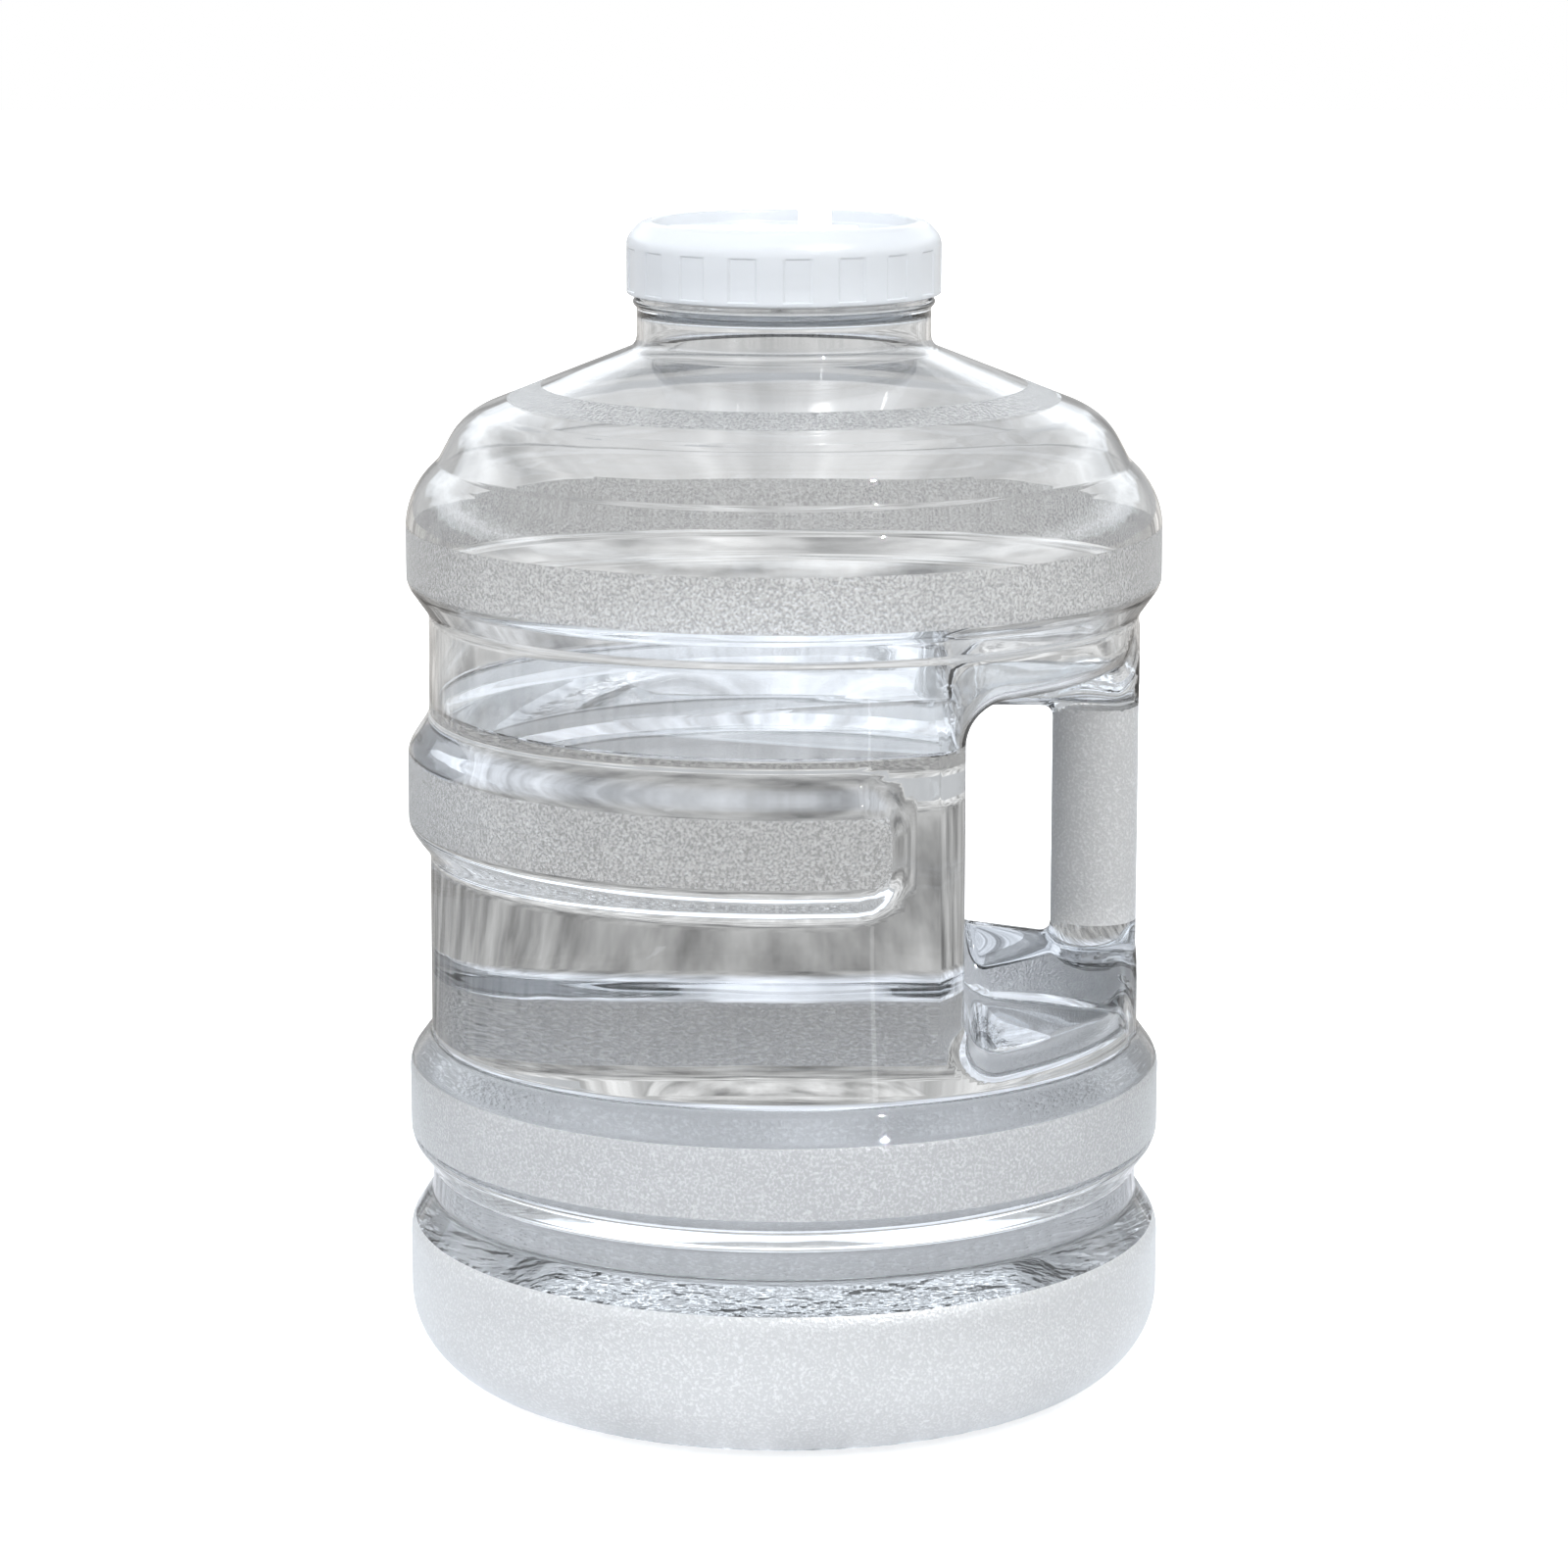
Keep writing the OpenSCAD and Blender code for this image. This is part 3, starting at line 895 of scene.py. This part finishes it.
class JUG_OT_cap(bpy.types.Operator):
    """Builds the milky screw cap with its sunk flats, dished top and inner thread"""

    bl_idname = "jug.cap"
    bl_label = "Screw Cap"

    def execute(self, context):
        scene = context.scene
        cap = make_cap(scene.jug_cap, scene.jug_shell, scene.jug_stopper)
        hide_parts("screw_cap")
        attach(cap, "cap")
        return {"FINISHED"}


class JUG_OT_seal(bpy.types.Operator):
    """Gives the seal ring inside the cap its foam finish"""

    bl_idname = "jug.seal"
    bl_label = "Foam Seal"

    def execute(self, context):
        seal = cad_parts["cap_liner"]
        seal.data.materials.clear()
        seal.data.materials.append(closed_cell_foam())
        return {"FINISHED"}


def make_stopper(p, c):
    """Plug, strap, pull knob and anchor, moulded as one soft piece."""
    low = c.plate_high + 0.2 * MM
    high = low + p.strap_t
    tip = p.pour_x + 12 * MM
    plug = rounded_profile([
        (0, c.plate_low - 3.4 * MM, 0),
        (p.pour_r - 1.4 * MM, c.plate_low - 3.4 * MM, 0.5 * MM),
        (p.pour_r - 0.15 * MM, c.plate_low, 0.4 * MM),
        (p.pour_r - 0.15 * MM, low + 0.3 * MM, 0),
        (p.pour_r + 1.2 * MM, low + 0.3 * MM, 0),
        (p.pour_r + 1.2 * MM, high, 0.3 * MM),
        (4.7 * MM, high + 0.3 * MM, 0.5 * MM),
        (4.5 * MM, STOPPER_HIGH.z - 3.2 * MM, 0.5 * MM),
        (5.3 * MM, STOPPER_HIGH.z - 2.2 * MM, 0.4 * MM),
        (5.3 * MM, STOPPER_HIGH.z, 1.1 * MM),
        (0, STOPPER_HIGH.z, 0)], 4)
    rivet = [(0, ANCHOR_LOW.z), (1.3 * MM, ANCHOR_LOW.z + 0.1 * MM),
             (2.5 * MM, c.plate_low - 0.6 * MM), (2.5 * MM, c.plate_low - 0.1 * MM),
             (1.6 * MM, c.plate_low - 0.1 * MM), (1.6 * MM, low), (3.2 * MM, low),
             (3.2 * MM, high - 0.3 * MM), (2.8 * MM, high), (0, high)]
    mesh = bmesh.new()
    for x, profile in ((p.pour_x, plug), (p.anchor_x, rivet)):
        points, faces = turned(profile, even_turn(72))
        made = [mesh.verts.new((a + x, b, z)) for a, b, z in points]
        for face in faces:
            mesh.faces.new([made[i] for i in face])
    half = p.strap_w / 2
    outline = []
    for cx, cy, radius, first in (
            (tip - 2.2 * MM, half - 2.2 * MM, 2.2 * MM, 0),
            (p.anchor_x, 0, half, 90), (p.anchor_x, 0, half, 180),
            (tip - 2.2 * MM, -half + 2.2 * MM, 2.2 * MM, 270)):
        for step in range(13):
            a = math.radians(first + 7.5 * step)
            outline.append((cx + radius * math.cos(a), cy + radius * math.sin(a)))
    bottom = [mesh.verts.new((x, y, low)) for x, y in outline]
    top = [mesh.verts.new((x, y, high)) for x, y in outline]
    mesh.faces.new(top)
    mesh.faces.new(bottom[::-1])
    for i in range(len(outline)):
        j = (i + 1) % len(outline)
        if (bottom[i].co - bottom[j].co).length > 1e-7:
            mesh.faces.new((bottom[i], bottom[j], top[j], top[i]))
    bmesh.ops.remove_doubles(mesh, verts=mesh.verts, dist=1e-7)
    data = bpy.data.meshes.new("stopper_moulding")
    mesh.to_mesh(data)
    mesh.free()
    stopper = placed("stopper_moulding", data)
    bpy.context.view_layer.update()
    applied(stopper, "REMESH", mode="VOXEL", voxel_size=0.22 * MM)
    applied(stopper, "SMOOTH", factor=0.5, iterations=4)
    stopper.data.polygons.foreach_set("use_smooth", np.ones(len(stopper.data.polygons), bool))
    stopper.data.materials.clear()
    stopper.data.materials.append(white_silicone(p))
    return stopper


class JUG_OT_stopper(bpy.types.Operator):
    """Builds the one-piece silicone stopper with its strap, pull knob and anchor"""

    bl_idname = "jug.stopper"
    bl_label = "Strap Stopper"

    def execute(self, context):
        scene = context.scene
        stopper = make_stopper(scene.jug_stopper, scene.jug_cap)
        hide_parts("stopper", "stopper_anchor")
        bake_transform(stopper)
        return {"FINISHED"}


def area_light(name, size, at, target, watts, tint="#FFFFFF"):
    """A soft rectangular lamp that looks at a point."""
    lamp = bpy.data.lights.new(name, "AREA")
    lamp.shape = "RECTANGLE"
    lamp.size, lamp.size_y = size
    lamp.energy = watts
    lamp.color = linear(tint)
    made = placed(name, lamp)
    made.location = at
    made.rotation_euler = (Vector(target) - Vector(at)).to_track_quat("-Z", "Y").to_euler()
    made.visible_glossy = False
    made.visible_transmission = False


def grey_ramp(tree, value, stops):
    """A colour ramp from stops of (place, colour, brightness); returns its colour socket."""
    ramp = add_node(tree, "ShaderNodeValToRGB", Fac=value)
    elements = ramp.color_ramp.elements
    while len(elements) < len(stops):
        elements.new(1)
    for element, (at, tone, bright) in zip(elements, stops):
        element.position = at
        element.color = (*[bright * part for part in tone], 1)
    return ramp.outputs[0]


def stage_floor(s):
    """Plain pale floor to the camera.

    To every other ray it glows: a pale slab standing in for a sunlit floor, darker beneath the jug
    as a painted shadow, with mottled ground beyond it.
    """
    material, tree = new_material("painted_floor")
    place = add_node(tree, "ShaderNodeNewGeometry").outputs["Position"]
    away = add_node(tree, "ShaderNodeVectorMath", {"operation": "LENGTH"}, _0=place)
    reach = add_node(tree, "ShaderNodeMapRange", Value=away.outputs["Value"], From_Max=2.0)
    # the slab's glow is painted light of a sunlit floor; the first two stops paint the shadow
    # beneath the jug
    ramp = grey_ramp(tree, reach.outputs[0], (
        (0.0, s.slab[:], 0.48), (0.045, s.slab[:], 0.52), (0.06, s.slab[:], 0.78),
        (0.14, s.slab[:], 0.62), (0.205, s.ground[:], 0.28), (0.43, s.ground[:], 0.28),
        (0.55, s.ground[:], 0.44), (1.0, s.ground[:], 0.52)))
    spoke = add_node(tree, "ShaderNodeVectorMath", {"operation": "NORMALIZE"}, _0=place)
    slowly = add_node(tree, "ShaderNodeMapRange", Value=away.outputs["Value"], From_Max=2.0,
                      To_Max=0.5)
    stones = add_node(tree, "ShaderNodeTexNoise", {"noise_dimensions": "4D"},
                      Vector=spoke.outputs[0], W=slowly.outputs[0], Scale=22.0, Detail=4.0)
    tone = add_node(tree, "ShaderNodeMapRange", Value=stones.outputs["Fac"], From_Min=0.3,
                    From_Max=0.7, To_Min=0.35, To_Max=1.5)
    painted_floor_glow = add_node(tree, "ShaderNodeMix", {"data_type": "RGBA", "blend_type": "MULTIPLY"},
                   _0=1.0, _6=ramp, _7=tone.outputs[0])
    beyond = add_node(tree, "ShaderNodeEmission", Color=painted_floor_glow.outputs[2], Strength=1.5)
    paint = add_node(tree, "ShaderNodeBsdfDiffuse", Color=(*s.floor, 1))
    glow = add_node(tree, "ShaderNodeEmission", Color=(*s.floor, 1), Strength=0.5)
    plain = add_node(tree, "ShaderNodeAddShader", _0=paint.outputs[0], _1=glow.outputs[0])
    seen = add_node(tree, "ShaderNodeLightPath").outputs["Is Camera Ray"]
    mixed = add_node(tree, "ShaderNodeMixShader", _0=seen, _1=beyond.outputs[0],
                     _2=plain.outputs[0])
    finished(material, mixed.outputs[0])
    points = [(-6, -6, 0), (6, -6, 0), (6, 6, 0), (-6, 6, 0)]
    floor = piece("floor", points, [(0, 1, 2, 3)], [material])
    floor.location.z = -0.2 * MM


def light_streak():
    """A narrow bright card on the floor, out of view, for the thin upright glint on the bands."""
    material, tree = new_material("light_card")
    glow = add_node(tree, "ShaderNodeEmission", Color=(1, 1, 1, 1), Strength=1.8)
    finished(material, glow.outputs[0])
    turn = math.radians(-64)
    along = Vector((math.cos(turn), math.sin(turn), 0))
    aside = Vector((-along.y, along.x, 0)) * 7 * MM
    near, far = 0.42, 1.3
    corners = [along * reach + aside * side
               for reach, side in ((near, -1), (far, -1), (far, 1), (near, 1))]
    card = piece("light_streak", [(*c.xy, 1 * MM) for c in corners], [(0, 1, 2, 3)], [material])


def studio_world():
    """White to the camera; to every other ray a grey horizon, a bright bluish band and a dim top.

    The noise makes the horizon's edge ragged, as leaves do.
    """
    world = bpy.data.worlds.new("studio")
    world.use_nodes = True
    tree = world.node_tree
    tree.nodes.clear()
    way = add_node(tree, "ShaderNodeTexCoord").outputs["Generated"]
    height = add_node(tree, "ShaderNodeSeparateXYZ", Vector=way).outputs["Z"]
    leaves = add_node(tree, "ShaderNodeTexNoise", Vector=way, Scale=13.0, Detail=8.0)
    stirred = add_node(tree, "ShaderNodeMath", {"operation": "MULTIPLY_ADD"},
                       _0=leaves.outputs["Fac"], _1=0.22, _2=height)
    ramp = grey_ramp(tree, stirred.outputs[0], (
        (0.0, (1, 1, 1), 0.26), (0.25, (1, 1, 1), 0.28), (0.295, (0.92, 0.96, 1), 0.62),
        (0.42, (0.94, 0.97, 1), 1.0), (0.50, (0.94, 0.97, 1), 0.62),
        (0.62, (0.96, 0.98, 1), 0.32), (1.0, (0.97, 0.98, 1), 0.32)))
    rays = add_node(tree, "ShaderNodeLightPath")
    clear = add_node(tree, "ShaderNodeBackground", Color=ramp, Strength=2.05)
    soft = add_node(tree, "ShaderNodeBackground", Color=(0.95, 0.98, 1, 1), Strength=1.3)
    sky = add_node(tree, "ShaderNodeMixShader", _0=rays.outputs["Is Diffuse Ray"],
                   _1=clear.outputs[0], _2=soft.outputs[0])
    backdrop = add_node(tree, "ShaderNodeBackground", Color=(1, 1, 1, 1), Strength=1.0)
    seen = rays.outputs["Is Camera Ray"]
    mixed = add_node(tree, "ShaderNodeMixShader", _0=seen, _1=sky.outputs[0],
                     _2=backdrop.outputs[0])
    add_node(tree, "ShaderNodeOutputWorld", Surface=mixed.outputs[0])
    return world


class JUG_OT_stage(bpy.types.Operator):
    """Adds the plain floor, the soft studio light and the camera"""

    bl_idname = "jug.stage"
    bl_label = "Stage"

    def execute(self, context):
        scene = context.scene
        s = scene.jug_stage
        stage_floor(s)
        light_streak()
        scene.world = studio_world()
        middle = (0, 0, s.target_z)
        area_light("key", (0.6, 0.6), (0.9, -1.5, 1.3), middle, watts=7)
        area_light("fill", (1.4, 1.0), (-1.6, -1.0, 1.2), middle, watts=10, tint="#EEF4FF")
        sun = placed("sun", bpy.data.lights.new("sun", "SUN"))
        sun.data.energy = 5
        sun.data.angle = math.radians(1.0)
        sun.rotation_euler = (math.radians(42), 0, math.radians(38))
        sun.visible_diffuse = False

        camera = placed("camera", bpy.data.cameras.new("camera"))
        camera.data.lens = s.lens
        camera.data.sensor_width = 36
        flat = s.camera_away * math.cos(s.camera_rise)
        camera.location = (0, -flat, s.target_z + s.camera_away * math.sin(s.camera_rise))
        camera.rotation_euler = (math.pi / 2 - s.camera_rise, 0, 0)
        scene.camera = camera
        scene.view_settings.view_transform = "Standard"
        return {"FINISHED"}


class JUG_PT_panel(bpy.types.Panel):
    """Lists the jug's pieces in the sidebar"""

    bl_idname = "JUG_PT_panel"
    bl_label = "Water Jug"
    bl_space_type = "VIEW_3D"
    bl_region_type = "UI"
    bl_category = "Water Jug"

    def draw(self, context):
        for operator in PIECES:
            self.layout.operator(operator.bl_idname)
        for name in SETTINGS:
            group = getattr(context.scene, name)
            box = self.layout.box()
            for key in group.bl_rna.properties.keys():
                if key not in ("name", "rna_type"):
                    box.prop(group, key)


SETTINGS = {
    "jug_shell": JugShellSizes,
    "jug_water": WaterSizes,
    "jug_cap": CapSizes,
    "jug_stopper": StopperSizes,
    "jug_stage": StageSizes,
}
PIECES = (JUG_OT_shell, JUG_OT_water, JUG_OT_cap, JUG_OT_seal, JUG_OT_stopper, JUG_OT_stage)


def register():
    for made in (*SETTINGS.values(), *PIECES, JUG_PT_panel):
        bpy.utils.register_class(made)
    for name, group in SETTINGS.items():
        setattr(bpy.types.Scene, name, PointerProperty(type=group))


def unregister():
    for name in SETTINGS:
        delattr(bpy.types.Scene, name)
    for made in reversed((*SETTINGS.values(), *PIECES, JUG_PT_panel)):
        bpy.utils.unregister_class(made)


def main():
    register()
    bpy.ops.jug.shell()
    bpy.ops.jug.water()
    bpy.ops.jug.cap()
    bpy.ops.jug.seal()
    bpy.ops.jug.stopper()
    bpy.ops.jug.stage()


if __name__ == "__main__":
    main()
